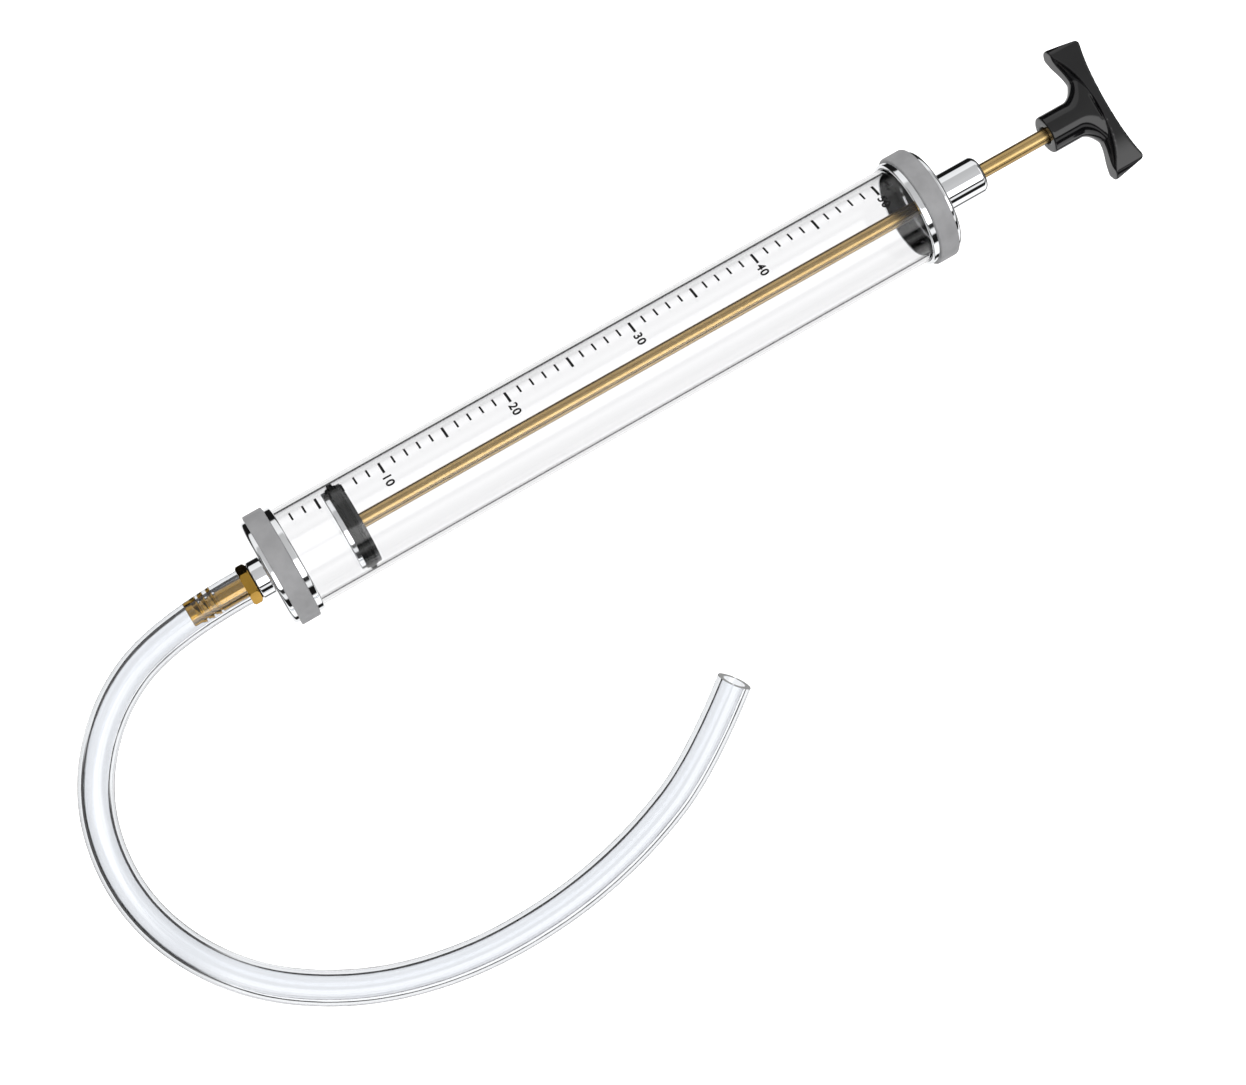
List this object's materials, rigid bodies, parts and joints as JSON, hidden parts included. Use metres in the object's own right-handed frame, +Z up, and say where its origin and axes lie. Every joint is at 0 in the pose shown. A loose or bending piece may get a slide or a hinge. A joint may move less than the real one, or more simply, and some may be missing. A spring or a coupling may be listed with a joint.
{
  "type": "meat injector",
  "caption": "Large hand syringe for brine: clear graduated barrel between metal end caps, rod plunger with a T-handle, and a clear hose pushed over a barbed outlet.",
  "frame": {"origin": "centre of the tool's footprint on the table it lies on, hose left out", "axes": "+X along the barrel towards the handle, +Z up from the table, +Y across the barrel"},
  "size_m": [0.5947, 0.2462, 0.0564],
  "materials": {
    "clear_acrylic": "gloss",
    "clear_hose": "gloss",
    "chrome": "gloss",
    "satin_metal": "satin",
    "brass": "gloss",
    "rod_brass": "satin",
    "black_plastic": "gloss",
    "black_rubber": "matte",
    "bush_plastic": "matte"
  },
  "bodies": {
    "barrel": {"barrel_tube": "clear_acrylic", "front_cap": "chrome", "front_grip_band": "satin_metal", "front_gasket": "black_rubber", "rear_cap": "chrome", "rear_grip_band": "satin_metal", "rear_gasket": "black_rubber", "rear_bumper": "black_rubber", "rod_guide": "chrome", "rod_bush": "bush_plastic", "hose_barb": "brass", "port_washer": "black_rubber", "hose": "clear_hose"},
    "piston": {"piston_front_plate": "chrome", "piston_seal": "black_rubber", "piston_rear_plate": "black_plastic"},
    "plunger": {"plunger_rod": "rod_brass", "piston_screw": "chrome", "handle": "black_plastic", "handle_insert": "brass"}
  },
  "joints": [
    {"name": "plunger_slide", "type": "slide", "parent": "barrel", "child": "piston", "axis": [1, 0, 0], "range_m": [-0.033, 0.304]},
    {"name": "handle_turn", "type": "hinge", "parent": "piston", "child": "plunger", "pos_m": [-0.17167, 0, 0.0282], "axis": [1, 0, 0], "continuous": true}
  ]
}
